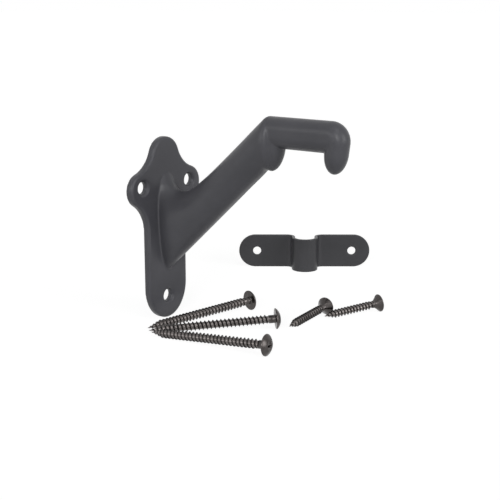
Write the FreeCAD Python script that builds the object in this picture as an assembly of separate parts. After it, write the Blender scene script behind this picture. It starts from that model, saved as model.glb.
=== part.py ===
"""Handrail bracket: a one-piece casting, its rail strap and its wood screws.

Frame: X runs along the handrail, Y into the wall and Z up. The origin is the centre of
the wall plate's back face, so the arm reaches out along -Y. Lengths are millimetres.
The strap and the screws lie loose, at rest on the level of the plate's foot.
"""
import FreeCAD, Part
import math
import os

V = FreeCAD.Vector
X_AXIS = V(1, 0, 0)
Y_AXIS = V(0, 1, 0)
Z_AXIS = V(0, 0, 1)

# Wall plate
plate_height = 89.0
plate_width = 27.0
plate_thickness = 3.6
plate_edge_round = 1.3
plate_foot_height = 16.5       # height of the half ellipse that ends the plate below
crown_radius = 9.5             # round top of the plate
ear_radius = 8.2               # round lobe around each upper screw hole
ear_spacing = 32.8             # between the two upper screw holes
ear_height = 20.6              # centres of the ears above the plate's centre
ear_to_crown_radius = 15.6     # hollow curve from ear to crown
ear_to_side_radius = 15.5      # hollow curve from ear to straight side
upper_hole_rise = 1.2          # upper screw holes above the ears' centres
lower_hole_drop = 33.4         # lower screw hole below the plate's centre

# Screw holes in the plate
wall_thread_diameter = 4.6     # of the screws that pass through
hole_clearance = 0.6           # radial, round a wall screw's thread
countersink_depth = 1.1        # cut at 45 degrees from the front
hole_back_ease = 0.4           # 45 degree easing of each hole's back edge

# Arm
arm_rise_angle = 42.0          # of the straight top line, above the level
arm_foot_rise_angle = 42.6     # of the straight under line, above the level
arm_top_offset = 0.9           # where the straight top line would meet the wall
arm_foot_offset = -23.6        # where the straight under line would meet the wall
root_sweep_height = 23.3       # how far the root sweeps up over the straight top line
root_sweep_length = 7.6        # distance over which that sweep dies out
root_half_width = 6.6
arm_widening = 0.011           # added half width for each millimetre of reach
arm_end_reach = 67.5           # of the arm's blunt end, from the wall
arm_end_round = 3.4
arm_end_step = 0.4             # from the near lobe's tip up to the arm's blunt end
section_fullness = 0.42        # 0.5 would be an ellipse, less is squarer

# Bar that carries the rail, with its two lobes
bar_top_height = 58.1
bar_width = 10.5
bar_height = 13.85
near_lobe_reach = 67.2
end_lobe_reach = 99.75
near_lobe_drop = 10.4          # of each lobe's tip below the bar
end_lobe_drop = 8.7
lobe_taper_length = 9.0        # of the end lobe's half-ellipsoid tip
lobe_lean = 8.0                # degrees, tip towards the wall

# Strap, bent from one strip
strap_length = 76.0
strap_width = 19.0
strap_thickness = 1.8
strap_hole_spacing = 55.0
strap_hole_radius = 2.35
strap_bend_radius = 3.2        # inside, where each ear turns into the loop
strap_clearance = 0.35         # between the loop and the bar, each side
strap_pinch = 0.3              # how much shallower the loop is than the bar

# Wall screws: cross-recessed truss head, thread nearly to the head
wall_screw_length = 60.0       # under the head
wall_head_radius = 5.0
wall_head_height = 2.7
wall_head_rim = 0.5
wall_neck_length = 3.2
wall_core_diameter = 3.3
wall_point_length = 7.0

# Strap screws: cross-recessed countersunk head
strap_screw_length = 31.75
strap_thread_diameter = 4.2
strap_head_radius = 4.4
strap_head_rim = 0.4
strap_head_cone = 3.0
strap_neck_length = 1.0
strap_core_diameter = 2.9
strap_point_length = 5.5

# Cross recess in every head
recess_arm_width = 1.1
recess_reach = 2.4             # from the centre to the end of each slot
recess_depth = 1.8
recess_floor_share = 0.35      # of the slot's reach that is left at its bottom

# Where the loose pieces lie: X, Y of the point or middle, and the turn about Z
strap_place = (125.0, 2.0, -53.0)
wall_screw_places = {
    "wall_screw_back": (-24.6, -11.6, -15.5),
    "wall_screw_middle": (-27.0, -14.5, -44.5),
    "wall_screw_front": (-28.0, -17.0, -81.0),
}
strap_screw_places = {
    "strap_screw_near": (18.5, -62.5, 0.0),
    "strap_screw_far": (42.5, -66.5, -27.0),
}

# Worked out from the sizes above
ground = -plate_height / 2
bar_radius = bar_width / 2
bar_underside = bar_top_height - bar_height
bar_core_low = bar_underside + bar_radius
bar_core_high = bar_top_height - bar_radius
corner_run = bar_core_high - bar_core_low
hole_radius = wall_thread_diameter / 2 + hole_clearance
near_lobe_tip = bar_underside - near_lobe_drop


def solid_from_wire(wire, along):
    """Return the prism that a closed flat wire sweeps along a vector."""
    return Part.Face(wire).extrude(along)


# ---------------------------------------------------------------- wall plate

def circle_meeting(centre_a, reach_a, centre_b, reach_b):
    """Return the outer point at the given distances from two centres in the X-Z plane."""
    link = centre_b - centre_a
    span = link.Length
    along = (reach_a ** 2 - reach_b ** 2 + span ** 2) / (2 * span)
    aside = math.sqrt(reach_a ** 2 - along ** 2)
    unit = link / span
    normal = V(-unit.z, 0, unit.x)
    if normal.x < 0:
        normal = -normal
    return centre_a + unit * along + normal * aside


def arc_between(centre, radius, start, middle_toward, end):
    """Return the arc about a centre from start to end, through a side given by a point."""
    through = centre + (middle_toward - centre).normalize() * radius
    return Part.Arc(start, through, end).toShape()


def plate_half_outline():
    """Return the right-hand edges of the plate's outline, from foot to crown."""
    half = plate_width / 2
    foot_top = V(half, 0, ground + plate_foot_height)
    crown = V(0, 0, plate_height / 2 - crown_radius)
    ear = V(ear_spacing / 2, 0, ear_height)

    side_reach = half + ear_to_side_radius
    below_ear = math.sqrt((ear_radius + ear_to_side_radius) ** 2 - (side_reach - ear.x) ** 2)
    low_hollow = V(side_reach, 0, ear.z - below_ear)
    high_hollow = circle_meeting(crown, crown_radius + ear_to_crown_radius,
                                 ear, ear_radius + ear_to_crown_radius)

    side_top = V(half, 0, low_hollow.z)
    ear_low = ear + (low_hollow - ear).normalize() * ear_radius
    ear_high = ear + (high_hollow - ear).normalize() * ear_radius
    crown_side = crown + (high_hollow - crown).normalize() * crown_radius
    crown_top = crown + Z_AXIS * crown_radius
    crown_middle = (crown_side + crown_top) / 2

    ellipse = Part.Ellipse(V(0, 0, ground), foot_top, V(0, 0, foot_top.z))
    foot_start = ellipse.parameter(V(0, 0, ground))
    foot_end = ellipse.parameter(foot_top)
    if foot_end < foot_start:
        foot_end += 2 * math.pi
    foot = Part.ArcOfEllipse(ellipse, foot_start, foot_end).toShape()

    return [
        foot,
        Part.makeLine(foot_top, side_top),
        arc_between(low_hollow, ear_to_side_radius, side_top, (side_top + ear_low) / 2, ear_low),
        arc_between(ear, ear_radius, ear_low, ear + X_AXIS, ear_high),
        arc_between(high_hollow, ear_to_crown_radius, ear_high, (ear_high + crown_side) / 2,
                    crown_side),
        arc_between(crown, crown_radius, crown_side, crown_middle, crown_top),
    ]


def screw_hole(x, z):
    """Return the cutter of one screw hole: countersunk in front and eased at the back."""
    past = 1.0
    bore = Part.makeCylinder(hole_radius, plate_thickness + 2 * past, V(x, past, z), -Y_AXIS)
    sink = Part.makeCone(hole_radius, hole_radius + countersink_depth + past,
                         countersink_depth + past,
                         V(x, countersink_depth - plate_thickness, z), -Y_AXIS)
    ease = Part.makeCone(hole_radius, hole_radius + hole_back_ease + past,
                         hole_back_ease + past, V(x, -hole_back_ease, z), Y_AXIS)
    return bore.fuse([sink, ease])


def wall_plate():
    """Return the plate with its rounded front edge, before the holes are cut."""
    right = plate_half_outline()
    left = [edge.mirror(V(0, 0, 0), X_AXIS) for edge in right]
    outline = Part.Wire(Part.__sortEdges__(right + left))
    plate = solid_from_wire(outline, -Y_AXIS * plate_thickness)
    front = [edge for edge in plate.Edges
             if abs(edge.BoundBox.YMax + plate_thickness) < 1e-6]
    return plate.makeFillet(plate_edge_round, front)


# ----------------------------------------------------------------------- arm

def arm_section(reach):
    """Return the arm's closed section at a distance from the wall, parallel to it.

    Above and below its widest level the section is a half super-ellipse. The top line
    is straight with an exponential sweep added at the root, and the under line is
    straight, until they meet the bar's top and the near lobe's tip. The last stretch
    draws in along a quarter circle, which rounds the arm's blunt end.
    """
    top_slope = math.tan(math.radians(arm_rise_angle))
    foot_slope = math.tan(math.radians(arm_foot_rise_angle))
    sweep = math.exp(-max(reach - plate_thickness, 0.0) / root_sweep_length)
    into_round = max(reach - (arm_end_reach - arm_end_round), 0.0)
    draw_in = arm_end_round - math.sqrt(arm_end_round ** 2 - into_round ** 2)

    top = arm_top_offset + top_slope * reach + root_sweep_height * sweep
    top = min(top, bar_top_height) - draw_in
    foot = min(arm_foot_offset + foot_slope * reach, near_lobe_tip + arm_end_step) + draw_in
    widest = foot + (top - foot) * (0.5 + 0.14 * sweep)
    half_width = root_half_width + arm_widening * reach - draw_in

    count = 36
    points = []
    for i in range(count):
        turn = 2 * math.pi * i / count
        side = math.copysign(abs(math.cos(turn)) ** (2 * section_fullness), math.cos(turn))
        rise = math.sin(turn)
        level = widest + rise * ((top - widest) if rise > 0 else (widest - foot))
        points.append(V(half_width * side, -reach, level))
    curve = Part.BSplineCurve()
    curve.interpolate(points, PeriodicFlag=True)
    return Part.Wire(curve.toShape())


def arm():
    """Return the arm, lofted from inside the plate to its blunt end at the bar."""
    straight_end = arm_end_reach - arm_end_round
    run = straight_end - arm_end_round - plate_thickness
    count = 12
    reaches = [plate_thickness / 2]
    for i in range(count + 1):
        reaches.append(plate_thickness + run * (i / count) ** 1.6)
    for angle in (-30, 0, 20, 40, 60, 75, 88):
        reaches.append(straight_end + arm_end_round * math.sin(math.radians(angle)))
    return Part.makeLoft([arm_section(reach) for reach in reaches], True, False)


# ------------------------------------------------------------- bar and lobes

def bar_section(y, low, high):
    """Return a face across the bar: its width, between two levels, with a round top."""
    left_low = V(-bar_radius, y, low)
    left_high = V(-bar_radius, y, high)
    right_high = V(bar_radius, y, high)
    right_low = V(bar_radius, y, low)
    crest = V(0, y, high + bar_radius)
    edges = [
        Part.makeLine(right_low, right_high),
        Part.Arc(right_high, crest, left_high).toShape(),
        Part.makeLine(left_high, left_low),
        Part.makeLine(left_low, right_low),
    ]
    return Part.Face(Part.Wire(edges))


def lobe(reach, level, taper_length, straight):
    """Return one lobe: a leaning round post with a half-ellipsoid tip.

    The post's axis passes the given reach and level. It runs down by the straight
    length, and the tip adds the taper length.
    """
    post = Part.makeCylinder(bar_radius, straight, V(0, 0, -straight), Z_AXIS)
    tip = Part.makeSphere(bar_radius, V(0, 0, 0), Z_AXIS, -90, 0)
    stretch = FreeCAD.Matrix()
    stretch.scale(1, 1, taper_length / bar_radius)
    tip = tip.transformGeometry(stretch)
    tip.translate(V(0, 0, -straight))
    shape = post.fuse(tip)
    shape.rotate(V(0, 0, 0), X_AXIS, lobe_lean)
    shape.translate(V(0, -reach, level))
    return shape


def bar():
    """Return the bar with its rounded outer corner and both lobes."""
    corner_reach = end_lobe_reach - corner_run
    start = -(arm_end_reach - arm_end_round)
    run = corner_reach + start

    upper = bar_section(start, bar_core_low, bar_core_high).extrude(-Y_AXIS * run)
    corner = bar_section(-corner_reach, bar_core_low, bar_core_high)
    corner = corner.revolve(V(0, -corner_reach, bar_core_low), X_AXIS, 90 + lobe_lean)
    under = Part.makeCylinder(bar_radius, end_lobe_reach + start,
                              V(0, start, bar_core_low), -Y_AXIS)

    lean = math.radians(lobe_lean)
    end_level = bar_core_low - corner_run * math.sin(lean)
    end_reach = corner_reach + corner_run * math.cos(lean)
    drop = end_level - (bar_underside - end_lobe_drop)
    end_lobe = lobe(end_reach, end_level, lobe_taper_length,
                    drop / math.cos(lean) - lobe_taper_length)
    near_lobe = lobe(near_lobe_reach, bar_core_low, near_lobe_drop,
                     bar_radius / math.cos(lean))
    return upper.fuse([corner, under, end_lobe, near_lobe])


def bracket():
    """Return the whole casting with its screw holes."""
    casting = wall_plate().fuse([arm(), bar()])
    upper_level = ear_height + upper_hole_rise
    holes = [screw_hole(side * ear_spacing / 2, upper_level) for side in (-1, 1)]
    holes.append(screw_hole(0, -lower_hole_drop))
    return casting.cut(holes).removeSplitter()


# --------------------------------------------------------------------- strap

def strap_profile():
    """Return the strap's edge-on face: X along it, Y through it, loop towards -Y."""
    t = strap_thickness
    inner = bar_radius + strap_clearance
    outer = inner + t
    bend = strap_bend_radius
    loop_centre = -(bar_height - strap_pinch - inner)
    end = strap_length / 2

    def mirror_points(points):
        return [V(-p.x, p.y, p.z) for p in reversed(points)]

    face_side = [V(-end, 0, 0), V(-inner - t - bend, 0, 0)]
    face_bend_middle = V(-outer - bend + (bend + t) * math.sin(math.pi / 4),
                         -t - bend + (bend + t) * math.cos(math.pi / 4), 0)
    face_bend_end = V(-inner, -t - bend, 0)
    face_loop_start = V(-inner, loop_centre, 0)
    back_loop_start = V(-outer, loop_centre, 0)
    back_bend_end = V(-outer, -t - bend, 0)
    back_bend_middle = V(-outer - bend + bend * math.sin(math.pi / 4),
                         -t - bend + bend * math.cos(math.pi / 4), 0)
    back_side = [V(-outer - bend, -t, 0), V(-end, -t, 0)]

    left = [
        Part.makeLine(face_side[0], face_side[1]),
        Part.Arc(face_side[1], face_bend_middle, face_bend_end).toShape(),
        Part.makeLine(face_bend_end, face_loop_start),
        Part.makeLine(back_loop_start, back_bend_end),
        Part.Arc(back_bend_end, back_bend_middle, back_side[0]).toShape(),
        Part.makeLine(back_side[0], back_side[1]),
        Part.makeLine(back_side[1], face_side[0]),
    ]
    right = [edge.mirror(V(0, 0, 0), X_AXIS) for edge in left]
    loop = [
        Part.Arc(face_loop_start, V(0, loop_centre - inner, 0), V(inner, loop_centre, 0)),
        Part.Arc(back_loop_start, V(0, loop_centre - outer, 0), V(outer, loop_centre, 0)),
    ]
    edges = left + right + [arc.toShape() for arc in loop]
    return Part.Face(Part.Wire(Part.__sortEdges__(edges)))


def strap():
    """Return the strap standing on its long edge, centred on its length and width."""
    solid = strap_profile().extrude(Z_AXIS * strap_width)
    solid.translate(-Z_AXIS * strap_width / 2)
    depth = bar_height + 4 * strap_thickness
    end_centre = strap_length / 2 - strap_width / 2
    keep = Part.makeBox(2 * end_centre, depth, strap_width,
                        V(-end_centre, -depth + strap_thickness, -strap_width / 2))
    for side in (-1, 1):
        centre = V(side * end_centre, strap_thickness, 0)
        keep = keep.fuse(Part.makeCylinder(strap_width / 2, depth, centre, -Y_AXIS))
    solid = solid.common(keep)
    for side in (-1, 1):
        at = V(side * strap_hole_spacing / 2, strap_thickness, 0)
        solid = solid.cut(Part.makeCylinder(strap_hole_radius, 4 * strap_thickness, at, -Y_AXIS))
    return solid.removeSplitter()


# -------------------------------------------------------------------- screws

def cross_recess(top):
    """Return the cutter of a cross recess that opens upwards at a level."""
    floor_reach = recess_reach * recess_floor_share
    half = recess_arm_width / 2
    profile = [
        V(-recess_reach, -half, top),
        V(recess_reach, -half, top),
        V(floor_reach, -half, top - recess_depth),
        V(-floor_reach, -half, top - recess_depth),
    ]
    slot = solid_from_wire(Part.makePolygon(profile + profile[:1]), Y_AXIS * recess_arm_width)
    crossed = slot.copy()
    crossed.rotate(V(0, 0, 0), Z_AXIS, 90)
    mouth = Part.makeCylinder(recess_reach, wall_head_height, V(0, 0, top))
    return slot.fuse([crossed, mouth])


def shank(length, neck_length, neck_radius, thread_radius, point_length):
    """Return the threaded body: point at the origin, neck ending at the given length."""
    thread_end = length - neck_length
    body = Part.makeCylinder(thread_radius, thread_end - point_length, V(0, 0, point_length))
    point = Part.makeCone(0, thread_radius, point_length)
    neck = Part.makeCylinder(neck_radius, neck_length, V(0, 0, thread_end))
    return body.fuse([point, neck])


def wall_screw():
    """Return a wall screw along +Z, its point at the origin and its domed head on top.

    The dome's crest is flattened where the cross recess opens.
    """
    head_base = wall_screw_length
    rim_top = head_base + wall_head_rim
    dome = wall_head_height - wall_head_rim
    ball = (wall_head_radius ** 2 + dome ** 2) / (2 * dome)
    cap = Part.makeSphere(ball, V(0, 0, rim_top + dome - ball))
    cap = cap.common(Part.makeCylinder(wall_head_radius, dome, V(0, 0, rim_top)))
    rim = Part.makeCylinder(wall_head_radius, wall_head_rim, V(0, 0, head_base))
    body = shank(head_base, wall_neck_length, (wall_core_diameter + wall_thread_diameter) / 4,
                 wall_thread_diameter / 2, wall_point_length)
    screw = body.fuse([rim, cap])
    flat = math.sqrt(ball ** 2 - recess_reach ** 2)
    return screw.cut(cross_recess(rim_top + dome - ball + flat)).removeSplitter()


def strap_screw():
    """Return a strap screw along +Z, its point at the origin and its flat head on top."""
    rim_base = strap_screw_length - strap_head_rim
    cone_base = rim_base - strap_head_cone
    neck_radius = (strap_core_diameter + strap_thread_diameter) / 4
    cone = Part.makeCone(neck_radius, strap_head_radius, strap_head_cone, V(0, 0, cone_base))
    rim = Part.makeCylinder(strap_head_radius, strap_head_rim, V(0, 0, rim_base))
    body = shank(cone_base, strap_neck_length, neck_radius, strap_thread_diameter / 2,
                 strap_point_length)
    screw = body.fuse([cone, rim])
    return screw.cut(cross_recess(strap_screw_length)).removeSplitter()


# ------------------------------------------------------- laying pieces down

def lay_screw(screw, place, head_radius, head_base, thread_radius, point_length):
    """Lay a screw on the ground, resting on its head's rim and its foremost thread.

    The place gives the X and Y of its point and the direction that its head lies in.
    """
    x, y, turn = place
    pitch = math.atan2(head_radius - thread_radius, head_base - point_length)
    screw.rotate(V(0, 0, 0), Y_AXIS, 90 - math.degrees(pitch))
    lift = thread_radius * math.cos(pitch) - point_length * math.sin(pitch)
    screw.rotate(V(0, 0, 0), Z_AXIS, turn)
    screw.translate(V(x, y, ground + lift))
    return screw


def stand_strap(shape):
    """Stand the strap on its long edge on the ground."""
    x, y, turn = strap_place
    shape.rotate(V(0, 0, 0), Z_AXIS, turn)
    shape.translate(V(x, y, ground + strap_width / 2))
    return shape


def build():
    """Write every piece of the bracket as a STEP file of its own."""
    pieces = {"bracket": bracket(), "strap": stand_strap(strap())}
    for name, place in wall_screw_places.items():
        pieces[name] = lay_screw(wall_screw(), place, wall_head_radius, wall_screw_length,
                                 wall_thread_diameter / 2, wall_point_length)
    for name, place in strap_screw_places.items():
        pieces[name] = lay_screw(strap_screw(), place, strap_head_radius,
                                 strap_screw_length - strap_head_rim,
                                 strap_thread_diameter / 2, strap_point_length)
    os.makedirs("parts", exist_ok=True)
    for name, shape in pieces.items():
        print(name, len(shape.Solids), shape.isValid(), round(shape.Volume, 1))
        shape.Solids[0].exportStep("parts/" + name + ".step")


build()
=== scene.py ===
"""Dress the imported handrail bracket: its coated casting, strap and screws, on a pale stage."""

import math

import bpy
import numpy as np
from bpy.props import FloatProperty, FloatVectorProperty, IntProperty, PointerProperty
from bpy.types import Operator, Panel, PropertyGroup
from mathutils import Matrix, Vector


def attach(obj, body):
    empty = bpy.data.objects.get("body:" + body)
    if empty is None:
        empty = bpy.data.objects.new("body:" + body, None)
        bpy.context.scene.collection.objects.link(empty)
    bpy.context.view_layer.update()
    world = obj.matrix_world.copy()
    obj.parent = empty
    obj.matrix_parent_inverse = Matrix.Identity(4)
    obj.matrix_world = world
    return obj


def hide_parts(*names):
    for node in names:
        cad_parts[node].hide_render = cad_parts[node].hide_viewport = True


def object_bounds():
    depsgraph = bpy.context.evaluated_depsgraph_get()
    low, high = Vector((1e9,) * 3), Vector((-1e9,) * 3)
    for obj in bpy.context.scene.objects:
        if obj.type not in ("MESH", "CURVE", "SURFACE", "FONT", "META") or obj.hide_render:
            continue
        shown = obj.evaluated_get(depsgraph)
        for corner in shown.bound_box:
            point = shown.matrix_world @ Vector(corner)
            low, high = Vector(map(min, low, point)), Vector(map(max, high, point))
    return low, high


bl_info = {
    "name": "Handrail Bracket Dresser",
    "version": (1, 0, 0),
    "blender": (4, 5, 0),
    "location": "View3D > Sidebar > Bracket",
    "description": "Finishes the handrail bracket, its strap and its screws",
    "category": "Object",
}

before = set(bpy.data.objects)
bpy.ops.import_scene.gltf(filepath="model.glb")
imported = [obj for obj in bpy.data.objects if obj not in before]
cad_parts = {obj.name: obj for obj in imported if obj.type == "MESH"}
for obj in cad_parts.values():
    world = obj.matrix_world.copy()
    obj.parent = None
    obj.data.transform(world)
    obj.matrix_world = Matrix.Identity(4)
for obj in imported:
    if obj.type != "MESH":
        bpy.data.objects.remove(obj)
CAD_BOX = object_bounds()
MM = 0.001
LOOK = (0.7742, 0.5897, -0.2300)    # the camera's direction
COLUMNS = 72                        # points round each ring of a screw
ROWS_PER_TURN = 16                  # rings for each turn of a thread


def linear(code):
    """Turn an sRGB hex colour such as #8090a0 to linear red, green and blue."""
    values = np.array([int(code[i:i + 2], 16) for i in (1, 3, 5)]) / 255
    low = values / 12.92
    high = ((values + 0.055) / 1.055) ** 2.4
    return tuple(float(v) for v in np.where(values <= 0.04045, low, high))


# ------------------------------------------------------------------ settings

class CastingSettings(PropertyGroup):
    """The casting and the strap, which share one powder coat, with painted shade in the strap's
    darker colour.
    """

    grid: FloatProperty(
        name="Surface grid", description="Spacing of the coated skin's faces",
        default=0.4 * MM, min=0.3 * MM, max=1.0 * MM, unit="LENGTH", precision=5)
    strap_grid: FloatProperty(
        name="Strap grid", description="Spacing of the strap's faces",
        default=0.26 * MM, min=0.2 * MM, max=0.6 * MM, unit="LENGTH", precision=5)
    softening: IntProperty(
        name="Softening", description="How far the coat rounds off edges and creases",
        default=5, min=0, max=30)
    coat: FloatVectorProperty(
        name="Coat", description="Colour of the powder coat",
        default=linear("#545459"), subtype="COLOR", min=0, max=1)
    # painted shade: the casting's powder coat, set darker on the strap
    strap_coat: FloatVectorProperty(
        name="Strap coat", description="Colour of the strap's powder coat",
        default=linear("#444447"), subtype="COLOR", min=0, max=1)
    coat_roughness: FloatProperty(
        name="Coat roughness", description="How matt the powder coat is",
        default=0.35, min=0, max=1, subtype="FACTOR")
    grain: FloatProperty(
        name="Coat grain", description="Size of the powder coat's fine orange peel",
        default=0.9 * MM, min=0.2 * MM, max=4 * MM, unit="LENGTH", precision=5)


class ScrewSettings(PropertyGroup):
    """The wood screws."""

    wall_pitch: FloatProperty(
        name="Long screws' pitch", description="From one turn of the thread to the next",
        default=1.9 * MM, min=1 * MM, max=4 * MM, unit="LENGTH", precision=5)
    strap_pitch: FloatProperty(
        name="Short screws' pitch", description="From one turn of the thread to the next",
        default=1.75 * MM, min=1 * MM, max=4 * MM, unit="LENGTH", precision=5)
    steel: FloatVectorProperty(
        name="Steel", description="Colour of the darkened steel",
        default=linear("#3f3c3b"), subtype="COLOR", min=0, max=1)
    steel_roughness: FloatProperty(
        name="Steel roughness", description="How dull the darkened steel is",
        default=0.24, min=0, max=1, subtype="FACTOR")


class StageSettings(PropertyGroup):
    """The floor, the light and the camera."""

    floor: FloatVectorProperty(
        name="Floor", description="Colour of the floor and backdrop",
        default=linear("#ffffff"), subtype="COLOR", min=0, max=1)
    right_level: FloatProperty(
        name="Right softbox", description="Light on a white face turned to it, 1 for white",
        default=0.34, min=0, max=3)
    front_level: FloatProperty(
        name="Front lamp", description="Light on a white face turned to it, 1 for white",
        default=0.3, min=0, max=3)
    left_level: FloatProperty(
        name="Left softbox", description="Light on a white face turned to it, 1 for white",
        default=0.2, min=0, max=3)
    top_level: FloatProperty(
        name="Top lamp", description="Light on a white face turned to it, 1 for white",
        default=0.08, min=0, max=3)
    fill_level: FloatProperty(
        name="Fill light", description="Level of the light that comes from all round",
        default=0.05, min=0, max=2)


# ------------------------------------------------------------------- meshes

def new_object(name, data):
    """Add an object with the given data to the scene."""
    item = bpy.data.objects.new(name, data)
    bpy.context.scene.collection.objects.link(item)
    return item


def shown_piece(name, mesh, node, material):
    """Add a mesh, in the given material, as a piece that stands for a CAD node, which it hides.
    """
    piece = new_object(name, mesh)
    mesh.materials.clear()
    mesh.materials.append(material)
    mesh.polygons.foreach_set("use_smooth", np.ones(len(mesh.polygons), dtype=bool))
    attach(piece, "root")
    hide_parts(node)
    return piece


def mesh_from_arrays(name, points, faces):
    """Make a mesh from an array of points and a list of faces."""
    mesh = bpy.data.meshes.new(name)
    mesh.from_pydata(points.tolist(), [], faces)
    mesh.validate()
    mesh.update()
    return mesh


def coated_copy(node, spacing, rounds):
    """Return a mesh of the node's solid as a powder coat leaves it, with eased edges.

    The solid is sampled again on an even grid of the given spacing, evened out and laid
    back on the solid. Each point then moves some way towards the middle of its
    neighbours, a few times over. So flat and gently curved faces stay, and sharp edges
    and creases come out rounded.
    """
    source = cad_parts[node]
    work = new_object(node + "_work", source.data.copy())
    weld = work.modifiers.new("weld", "WELD")
    weld.merge_threshold = 0.002 * MM
    remesh = work.modifiers.new("even grid", "REMESH")
    remesh.mode = "VOXEL"
    remesh.voxel_size = spacing
    remesh.use_smooth_shade = True
    even = work.modifiers.new("even out", "SMOOTH")
    even.factor = 0.5
    even.iterations = 6
    lay = work.modifiers.new("lay on the solid", "SHRINKWRAP")
    lay.target = source
    lay.wrap_method = "NEAREST_SURFACEPOINT"
    soften = work.modifiers.new("soften", "SMOOTH")
    soften.factor = 0.5
    soften.iterations = rounds
    graph = bpy.context.evaluated_depsgraph_get()
    mesh = bpy.data.meshes.new_from_object(work.evaluated_get(graph))
    bpy.data.objects.remove(work)
    return mesh


def closed_round_body(along, radius, turn):
    """Return points and faces of rings: point (i, j) is at a height, radius and turn about Z.

    The rings run from the head's middle down to the screw's point. Each end is closed
    with one more point on the axis: the head's at its ring's height, and the other one
    lower than its ring by that ring's radius.
    """
    rows, columns = radius.shape
    rings = np.stack([radius * np.cos(turn), radius * np.sin(turn), along], axis=-1)
    ends = np.array([[0, 0, along[0].mean()], [0, 0, along[-1].mean() - radius[-1].mean()]])
    points = np.concatenate([rings.reshape(-1, 3), ends])

    i, j = np.meshgrid(np.arange(rows - 1), np.arange(columns), indexing="ij")
    k = (j + 1) % columns
    quads = np.stack([i * columns + j, (i + 1) * columns + j,
                      (i + 1) * columns + k, i * columns + k], axis=-1).reshape(-1, 4)
    j = np.arange(columns)
    k = (j + 1) % columns
    head, point = rows * columns, rows * columns + 1
    last = (rows - 1) * columns
    caps = np.concatenate([
        np.stack([np.full(columns, head), j, k], axis=-1),
        np.stack([np.full(columns, point), last + k, last + j], axis=-1)])
    return points, quads.tolist() + caps.tolist()


def cross_recess(x, y, reach, width, depth):
    """Return how deep a cross recess is at points of a screw head's face.

    Each of its two slots is as deep at its middle as the depth, shallows in a straight
    line towards its ends, and has steep sides. The deeper slot counts.
    """
    side_run = 0.12 * MM
    sloping_share = 0.6

    def slot(lengthwise, across):
        wall = np.clip((width / 2 - np.abs(across)) / side_run, 0, 1)
        slope = np.clip((reach - np.abs(lengthwise)) / (sloping_share * reach), 0, 1)
        return wall * slope
    return depth * np.maximum(slot(x, y), slot(y, x))


def head_rings(profile, recess):
    """Return the head's rings from a profile of (radius, height) rows, less its recess.

    The profile's height is lowered inside the recess, which is a reach, width and depth.
    The last array is the painted highlight's share, which is even over the head.
    """
    # painted highlight on the head: a share of the full painted highlight
    head_painted_highlight = 0.4
    turn = np.arange(COLUMNS)[None, :] * 2 * np.pi / COLUMNS + 0 * profile[:, :1]
    radius = profile[:, :1] + 0 * turn
    x, y = radius * np.cos(turn), radius * np.sin(turn)
    facing = np.arange(len(profile)) < np.argmax(profile[:, 0])
    sunk = cross_recess(x, y, *recess) * facing[:, None]
    return profile[:, 1:] - sunk, radius, turn, head_painted_highlight + 0 * turn


def thread_rings(start, outer, core, pitch, point_length):
    """Return the rings of a threaded shank, from its neck down to its point.

    At a height s and a turn a the radius is the core's, plus the thread's depth times a
    triangle of the fraction of s / pitch - a / 2 pi, which leaves a sharp crest and a
    wide flat root. The depth fades in over most of a pitch below the neck. Along the
    point the core tapers in a straight line, and the crest a little later than that.
    The last array is the painted highlight's share: full on the flat root, none on the
    thread's flanks, which keep the painted shade.
    """
    lowest_ring = 0.03 * MM
    tip_radius = 0.02 * MM
    ridge_half_width = 0.24         # share of the pitch
    fade_in = 0.8 * pitch
    crest_taper_power = 0.75
    painted_highlight_end = 0.25                 # share of the ridge's height where the painted highlight has faded out
    count = int(start / pitch * ROWS_PER_TURN)
    height = np.linspace(start, lowest_ring, count)[:, None]
    turn = np.arange(COLUMNS)[None, :] * 2 * np.pi / COLUMNS
    phase = (height / pitch - turn / (2 * np.pi)) % 1.0
    ridge = np.clip(1 - np.abs(phase - 0.5) / ridge_half_width, 0, 1)
    depth = (outer - core) * np.clip((start - height) / fade_in, 0, 1)
    taper = np.clip(height / point_length, 0, 1)
    radius = core * taper + depth * ridge * taper ** crest_taper_power + tip_radius
    # painted highlight on the flat root, painted shade on the flanks
    painted_highlight = np.clip(1 - ridge / painted_highlight_end, 0, 1)
    return height + 0 * turn, np.minimum(radius, outer), turn + 0 * height, painted_highlight


def screw_rings(face, edge, neck, thread, pitch, recess):
    """Return a screw's two sets of rings: its head with the neck, and its thread.

    face and edge are rows of (radius, height), from the middle of the head's face out
    to its rim and back in to the neck. neck is the (radius, height) where it ends, and
    thread the outer radius, the core's radius and the length of the point.
    """
    first_step = 0.05 * MM          # from the neck's end down to the thread's first ring
    profile = np.concatenate([face, edge, [neck]])
    outer, core, point_length = thread
    return [head_rings(profile, recess),
            thread_rings(neck[1] - first_step, outer, core, pitch, point_length)]


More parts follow.
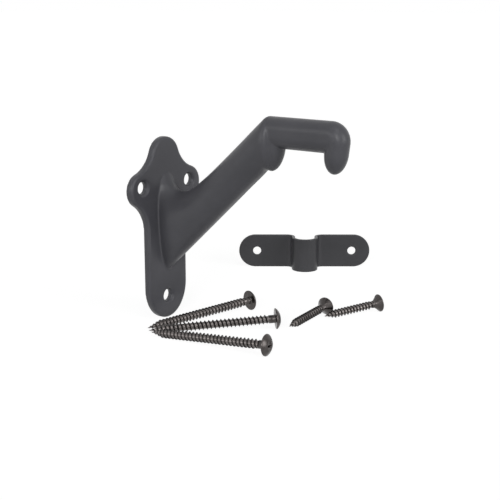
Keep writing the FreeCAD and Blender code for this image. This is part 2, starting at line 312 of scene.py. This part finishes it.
def lying_pose(node, length, head_radius, thread_radius, thread_from_point):
    """Return where a lying screw's point is, and its three axes, read off its node.

    The screw rests on its head's rim and its foremost full thread. So its axis rises by
    the angle whose tangent is the difference of the two radii over the distance between
    them. Its heading is that of the head's middle, seen from its point, and its point is
    at the end whose last few corners lie closer together.
    """
    end_corners = 8
    face_margin = 0.05 * MM
    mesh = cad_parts[node].data
    points = np.empty(len(mesh.vertices) * 3)
    mesh.vertices.foreach_get("co", points)
    points = np.unique(points.reshape(-1, 3).round(7), axis=0)
    spread = points - points.mean(axis=0)
    lengthwise = np.linalg.svd(spread, full_matrices=False)[2][0]
    in_line = points[np.argsort(spread @ lengthwise)]
    first = in_line[:end_corners].std(axis=0).sum()
    last = in_line[-end_corners:].std(axis=0).sum()
    tip = in_line[0] if first < last else in_line[-1]
    from_tip = np.linalg.norm(points - tip, axis=1)
    head = points[from_tip > length - face_margin].mean(axis=0)
    heading = math.atan2(head[1] - tip[1], head[0] - tip[0])
    pitch = math.atan2(head_radius - thread_radius, length - thread_from_point)
    axis = np.array([math.cos(heading) * math.cos(pitch),
                     math.sin(heading) * math.cos(pitch), math.sin(pitch)])
    side = np.array([-math.sin(heading), math.cos(heading), 0.0])
    return tip, np.stack([np.cross(side, axis), side, axis])


def place_screw(name, node, rings, pose, material):
    """Join a screw's rings into one piece, lay it in its pose and let it replace a node."""
    along, radius, turn, painted_highlight = (np.concatenate(parts) for parts in zip(*rings))
    points, faces = closed_round_body(along, radius, turn)
    tip, axes = pose
    mesh = mesh_from_arrays(name, points @ axes + tip, faces)
    # a layer of painted highlight: lighter on the thread's root and the head, darker on the
    # flanks
    painted_highlight_layer = mesh.attributes.new("painted_highlight", "FLOAT", "POINT")
    painted_highlight_layer.data.foreach_set("value", np.append(painted_highlight.ravel(), (0, 0)))
    shown_piece(name, mesh, node, material)


# ---------------------------------------------------------------- materials

def new_material(name):
    """Return an empty material, its node tree and its output node."""
    material = bpy.data.materials.new(name)
    material.use_nodes = True
    tree = material.node_tree
    tree.nodes.clear()
    return material, tree, tree.nodes.new("ShaderNodeOutputMaterial")


def add(tree, kind, links=None, **settings):
    """Add one node with its settings and input values, and link what feeds it.

    A setting whose name is an input's, with underscores for spaces, is that input's
    value. links maps an input's name or number to the output that feeds it.
    """
    node = tree.nodes.new(kind)
    for key, value in settings.items():
        socket = key.replace("_", " ")
        if socket in node.inputs:
            node.inputs[socket].default_value = value
        else:
            setattr(node, key, value)
    for socket, output in (links or {}).items():
        tree.links.new(output, node.inputs[socket])
    return node


def scaled_colour(tree, colour, factor):
    """Return the output of a colour made lighter or darker by a factor's output."""
    tint = add(tree, "ShaderNodeVectorMath", {1: factor}, operation="MULTIPLY")
    tint.inputs[0].default_value = colour
    return tint.outputs["Vector"]


def rgba(colour):
    """Return a colour with full alpha."""
    return (*colour, 1.0)


def powder_coat(name, colour, roughness, grain):
    """Charcoal polyester powder coat, baked on.

    It gives a matt to satin skin with a fine orange peel of about a millimetre, a
    faint mottle where the coat lies thicker, and no bare metal.
    """
    material, tree, output = new_material(name)
    mottle_size = 12 * MM
    place = add(tree, "ShaderNodeTexCoord").outputs["Object"]
    peel = add(tree, "ShaderNodeTexNoise", {"Vector": place}, Scale=1 / grain, Detail=3.0,
               Roughness=0.6)
    mottle = add(tree, "ShaderNodeTexNoise", {"Vector": place}, Scale=1 / mottle_size, Detail=2.0)
    shade = add(tree, "ShaderNodeMapRange", {"Value": mottle.outputs["Fac"]},
                From_Min=0.3, From_Max=0.7, To_Min=0.93, To_Max=1.07)
    tint = scaled_colour(tree, colour, shade.outputs["Result"])
    dull = add(tree, "ShaderNodeMapRange", {"Value": peel.outputs["Fac"]},
               To_Min=roughness - 0.06, To_Max=roughness + 0.06)
    bump = add(tree, "ShaderNodeBump", {"Height": peel.outputs["Fac"]}, Strength=0.1,
               Distance=0.05 * MM)
    surface = add(tree, "ShaderNodeBsdfPrincipled",
                  {"Base Color": tint, "Roughness": dull.outputs["Result"],
                   "Normal": bump.outputs["Normal"]}, Specular_IOR_Level=0.3)
    tree.links.new(surface.outputs["BSDF"], output.inputs["Surface"])
    return material


def dark_steel(name, colour, roughness):
    """Hardened steel with a dark, bright-polished plating.

    It gives small uneven patches where the plating took better. Painted shade darkens
    the thread's flanks to deep brown-black, and a painted highlight lightens the smooth
    root of the thread, and the head somewhat less, for the light that they throw back.
    """
    material, tree, output = new_material(name)
    patch_size = 3 * MM
    place = add(tree, "ShaderNodeTexCoord").outputs["Object"]
    patches = add(tree, "ShaderNodeTexNoise", {"Vector": place}, Scale=1 / patch_size, Detail=4.0)
    shade = add(tree, "ShaderNodeMapRange", {"Value": patches.outputs["Fac"]},
                From_Min=0.3, From_Max=0.7, To_Min=0.75, To_Max=1.2)
    # painted highlight and painted shade: the layer lightens the root and the head and darkens
    # the flanks
    painted_highlight = add(tree, "ShaderNodeAttribute", attribute_name="painted_highlight")
    painted_highlight_gain = add(tree, "ShaderNodeMapRange", {"Value": painted_highlight.outputs["Fac"]},
               To_Min=0.55, To_Max=3.0)
    level = add(tree, "ShaderNodeMath", {0: shade.outputs["Result"], 1: painted_highlight_gain.outputs["Result"]},
                operation="MULTIPLY")
    tint = scaled_colour(tree, colour, level.outputs["Value"])
    dull = add(tree, "ShaderNodeMapRange", {"Value": patches.outputs["Fac"]},
               To_Min=roughness - 0.05, To_Max=roughness + 0.1)
    surface = add(tree, "ShaderNodeBsdfPrincipled",
                  {"Base Color": tint, "Roughness": dull.outputs["Result"]},
                  Metallic=1.0)
    tree.links.new(surface.outputs["BSDF"], output.inputs["Surface"])
    return material


def seen_directly(tree):
    """Add nodes that give 1 to rays from the camera, a mirror or a clear body, else 0."""
    rays = add(tree, "ShaderNodeLightPath")
    either = add(tree, "ShaderNodeMath", {0: rays.outputs["Is Camera Ray"],
                                          1: rays.outputs["Is Glossy Ray"]},
                 operation="MAXIMUM")
    any_of = add(tree, "ShaderNodeMath", {0: either.outputs["Value"],
                                          1: rays.outputs["Is Transmission Ray"]},
                 operation="MAXIMUM")
    return any_of.outputs["Value"]


def white_ground(name, colour):
    """Matt white card, lit evenly from behind.

    It stays white where nothing stands near it, and keeps a soft shadow at contact.
    """
    material, tree, output = new_material(name)
    matt_share = 0.3
    glow_strength = 0.92
    card = add(tree, "ShaderNodeBsdfDiffuse", Color=rgba([matt_share * c for c in colour]))
    glow = add(tree, "ShaderNodeEmission", Color=rgba(colour), Strength=glow_strength)
    both = add(tree, "ShaderNodeAddShader", {0: card.outputs[0], 1: glow.outputs[0]})
    pick = add(tree, "ShaderNodeMixShader", {0: seen_directly(tree), 1: card.outputs[0],
                                             2: both.outputs[0]})
    tree.links.new(pick.outputs[0], output.inputs["Surface"])
    return material


# -------------------------------------------------------------------- stage

def add_lamp(name, aside, height, spread, level):
    """Add a far soft lamp, at angles to the right of the camera and above the level.

    A white face turned to it is lit to the given level. The spread is how wide the lamp
    looks, and all angles are in degrees.
    """
    azimuth = math.atan2(-LOOK[1], -LOOK[0]) + math.radians(aside)
    rise = math.radians(height)
    toward = Vector((math.cos(azimuth) * math.cos(rise),
                     math.sin(azimuth) * math.cos(rise), math.sin(rise)))
    data = bpy.data.lights.new(name, "SUN")
    data.angle = math.radians(spread)
    data.energy = math.pi * level
    lamp = new_object(name, data)
    lamp.location = toward
    lamp.rotation_euler = toward.to_track_quat("Z", "Y").to_euler()


def add_floor(colour):
    """Lay a wide white floor just below the bracket and its loose pieces."""
    gap = 0.05 * MM
    low = CAD_BOX[0].z - gap
    reach = 12.0
    corners = np.array([[-reach, -reach, low], [reach, -reach, low],
                        [reach, reach, low], [-reach, reach, low]])
    mesh = mesh_from_arrays("floor", corners, [[0, 1, 2, 3]])
    mesh.materials.append(white_ground("white_card", colour))
    floor = new_object("floor", mesh)


def add_surroundings(fill_level):
    """Surround the scene with white, which lights matt faces with the fill level only."""
    world = bpy.data.worlds.new("studio")
    bpy.context.scene.world = world
    world.use_nodes = True
    tree = world.node_tree
    tree.nodes.clear()
    level = add(tree, "ShaderNodeMapRange", {"Value": seen_directly(tree)},
                To_Min=fill_level, To_Max=1.0)
    sky = add(tree, "ShaderNodeBackground", {"Strength": level.outputs["Result"]},
              Color=rgba(linear("#ffffff")))
    add(tree, "ShaderNodeOutputWorld", {"Surface": sky.outputs["Background"]})


def add_camera():
    """Add the camera, to the front left of the bracket and a little above it."""
    frame_width = 500.0
    focal_length = 1055.43          # in the same units as the frame's width
    data = bpy.data.cameras.new("camera")
    data.sensor_width = 36.0
    data.lens = focal_length * data.sensor_width / frame_width
    data.clip_end = 100.0
    camera = new_object("camera", data)
    camera.location = (-0.3725, -0.3371, 0.1071)
    camera.rotation_euler = Vector(LOOK).to_track_quat("-Z", "Y").to_euler()
    bpy.context.scene.camera = camera


# ---------------------------------------------------------------- operators

class BRACKET_OT_casting(Operator):
    """Give the casting its coated skin"""

    bl_idname = "bracket.casting"
    bl_label = "Casting"

    def execute(self, context):
        sizes = context.scene.bracket_casting
        coat = powder_coat("charcoal_powder_coat", sizes.coat, sizes.coat_roughness, sizes.grain)
        skin = coated_copy("bracket", sizes.grid, sizes.softening)
        shown_piece("coated_casting", skin, "bracket", coat)
        return {"FINISHED"}


class BRACKET_OT_strap(Operator):
    """Give the strap its coated skin"""

    bl_idname = "bracket.strap"
    bl_label = "Strap"

    def execute(self, context):
        sizes = context.scene.bracket_casting
        # the strap's coat is the casting's, with painted shade in its darker colour
        coat = powder_coat("strap_shaded_powder_coat", sizes.strap_coat, sizes.coat_roughness,
                           sizes.grain)
        skin = coated_copy("strap", sizes.strap_grid, sizes.softening)
        shown_piece("coated_strap", skin, "strap", coat)
        return {"FINISHED"}


class BRACKET_OT_wall_screws(Operator):
    """Make the long wood screws with their threads and truss heads"""

    bl_idname = "bracket.wall_screws"
    bl_label = "Wall screws"

    def execute(self, context):
        sizes = context.scene.bracket_screws
        steel = dark_steel("wall_screw_plated_steel", sizes.steel, sizes.steel_roughness)
        length, neck_length, neck_radius = 60.0 * MM, 3.2 * MM, 1.95 * MM
        head, rim, dome = 5.0 * MM, 0.5 * MM, 2.2 * MM
        outer, core, point = 2.3 * MM, 1.6 * MM, 7.0 * MM
        recess_reach = 2.4 * MM
        recess = (recess_reach, 1.1 * MM, 1.6 * MM)
        ball = (head ** 2 + dome ** 2) / (2 * dome)
        ball_middle = length + rim + dome - ball

        face = np.concatenate([np.linspace(0.05, 2.7, 34), np.linspace(2.8, 4.9, 12)]) * MM
        level = ball_middle + np.sqrt(ball ** 2 - np.maximum(face, recess_reach) ** 2)
        edge = np.array([[4.97, 0.38], [5.0, 0.25], [4.97, 0.12], [4.85, 0.02], [4.4, 0.0],
                         [2.9, 0.0], [2.3, -0.1], [2.0, -0.35], [1.95, -0.7]]) * MM
        edge[:, 1] += length
        rings = screw_rings(np.stack([face, level], axis=-1), edge,
                            (neck_radius, length - neck_length), (outer, core, point),
                            sizes.wall_pitch, recess)
        for place in ("back", "middle", "front"):
            node = "wall_screw_" + place
            pose = lying_pose(node, length, head, outer, point)
            place_screw("long_screw_" + place, node, rings, pose, steel)
        return {"FINISHED"}


class BRACKET_OT_strap_screws(Operator):
    """Make the short wood screws with their threads and countersunk heads"""

    bl_idname = "bracket.strap_screws"
    bl_label = "Strap screws"

    def execute(self, context):
        sizes = context.scene.bracket_screws
        steel = dark_steel("strap_screw_plated_steel", sizes.steel, sizes.steel_roughness)
        length, neck_length, neck_radius = 31.75 * MM, 1.0 * MM, 1.75 * MM
        head, rim, cone = 4.4 * MM, 0.4 * MM, 3.0 * MM
        outer, core, point = 2.1 * MM, 1.4 * MM, 5.5 * MM
        recess = (2.4 * MM, 1.1 * MM, 1.6 * MM)

        face = np.concatenate([np.linspace(0.05, 2.7, 34), np.linspace(2.9, 4.2, 6)]) * MM
        level = np.full(len(face), length)
        edge = np.array([[4.33, -0.04], [4.4, -0.14], [4.4, -0.3], [4.32, -0.42],
                         [3.6, -1.1], [2.8, -2.0], [2.1, -2.9], [1.8, -3.4]]) * MM
        edge[:, 1] += length
        rings = screw_rings(np.stack([face, level], axis=-1), edge,
                            (neck_radius, length - rim - cone - neck_length),
                            (outer, core, point), sizes.strap_pitch, recess)
        for place in ("near", "far"):
            node = "strap_screw_" + place
            pose = lying_pose(node, length - rim, head, outer, point)
            place_screw("short_screw_" + place, node, rings, pose, steel)
        return {"FINISHED"}


class BRACKET_OT_stage(Operator):
    """Set up the floor, the lamps and the camera"""

    bl_idname = "bracket.stage"
    bl_label = "Stage"

    def execute(self, context):
        sizes = context.scene.bracket_stage
        add_floor(sizes.floor)
        add_surroundings(sizes.fill_level)
        add_lamp("right_softbox", 52, 14, 36, sizes.right_level)
        add_lamp("front_lamp", -10, 19, 24, sizes.front_level)
        add_lamp("left_softbox", -60, 5, 36, sizes.left_level)
        add_lamp("top_lamp", 12, 58, 24, sizes.top_level)
        add_camera()
        context.scene.view_settings.view_transform = "Standard"
        return {"FINISHED"}


class BRACKET_PT_sidebar(Panel):
    """The bracket's settings and steps"""

    bl_idname = "BRACKET_PT_sidebar"
    bl_label = "Handrail Bracket"
    bl_space_type = "VIEW_3D"
    bl_region_type = "UI"
    bl_category = "Bracket"

    def draw(self, context):
        for group in (context.scene.bracket_casting, context.scene.bracket_screws,
                      context.scene.bracket_stage):
            box = self.layout.box()
            for name in group.__annotations__:
                box.prop(group, name)
        for step in STEPS:
            self.layout.operator(step.bl_idname)


STEPS = (BRACKET_OT_casting, BRACKET_OT_strap, BRACKET_OT_wall_screws,
         BRACKET_OT_strap_screws, BRACKET_OT_stage)
CLASSES = (CastingSettings, ScrewSettings, StageSettings, *STEPS, BRACKET_PT_sidebar)


def register():
    """Register the classes and hang the settings on the scene."""
    for item in CLASSES:
        bpy.utils.register_class(item)
    bpy.types.Scene.bracket_casting = PointerProperty(type=CastingSettings)
    bpy.types.Scene.bracket_screws = PointerProperty(type=ScrewSettings)
    bpy.types.Scene.bracket_stage = PointerProperty(type=StageSettings)


def unregister():
    """Take the settings off the scene and unregister the classes."""
    del bpy.types.Scene.bracket_stage
    del bpy.types.Scene.bracket_screws
    del bpy.types.Scene.bracket_casting
    for item in reversed(CLASSES):
        bpy.utils.unregister_class(item)


def main():
    """Build every piece and the stage."""
    register()
    bpy.ops.bracket.casting()
    bpy.ops.bracket.strap()
    bpy.ops.bracket.wall_screws()
    bpy.ops.bracket.strap_screws()
    bpy.ops.bracket.stage()


if __name__ == "__main__":
    main()
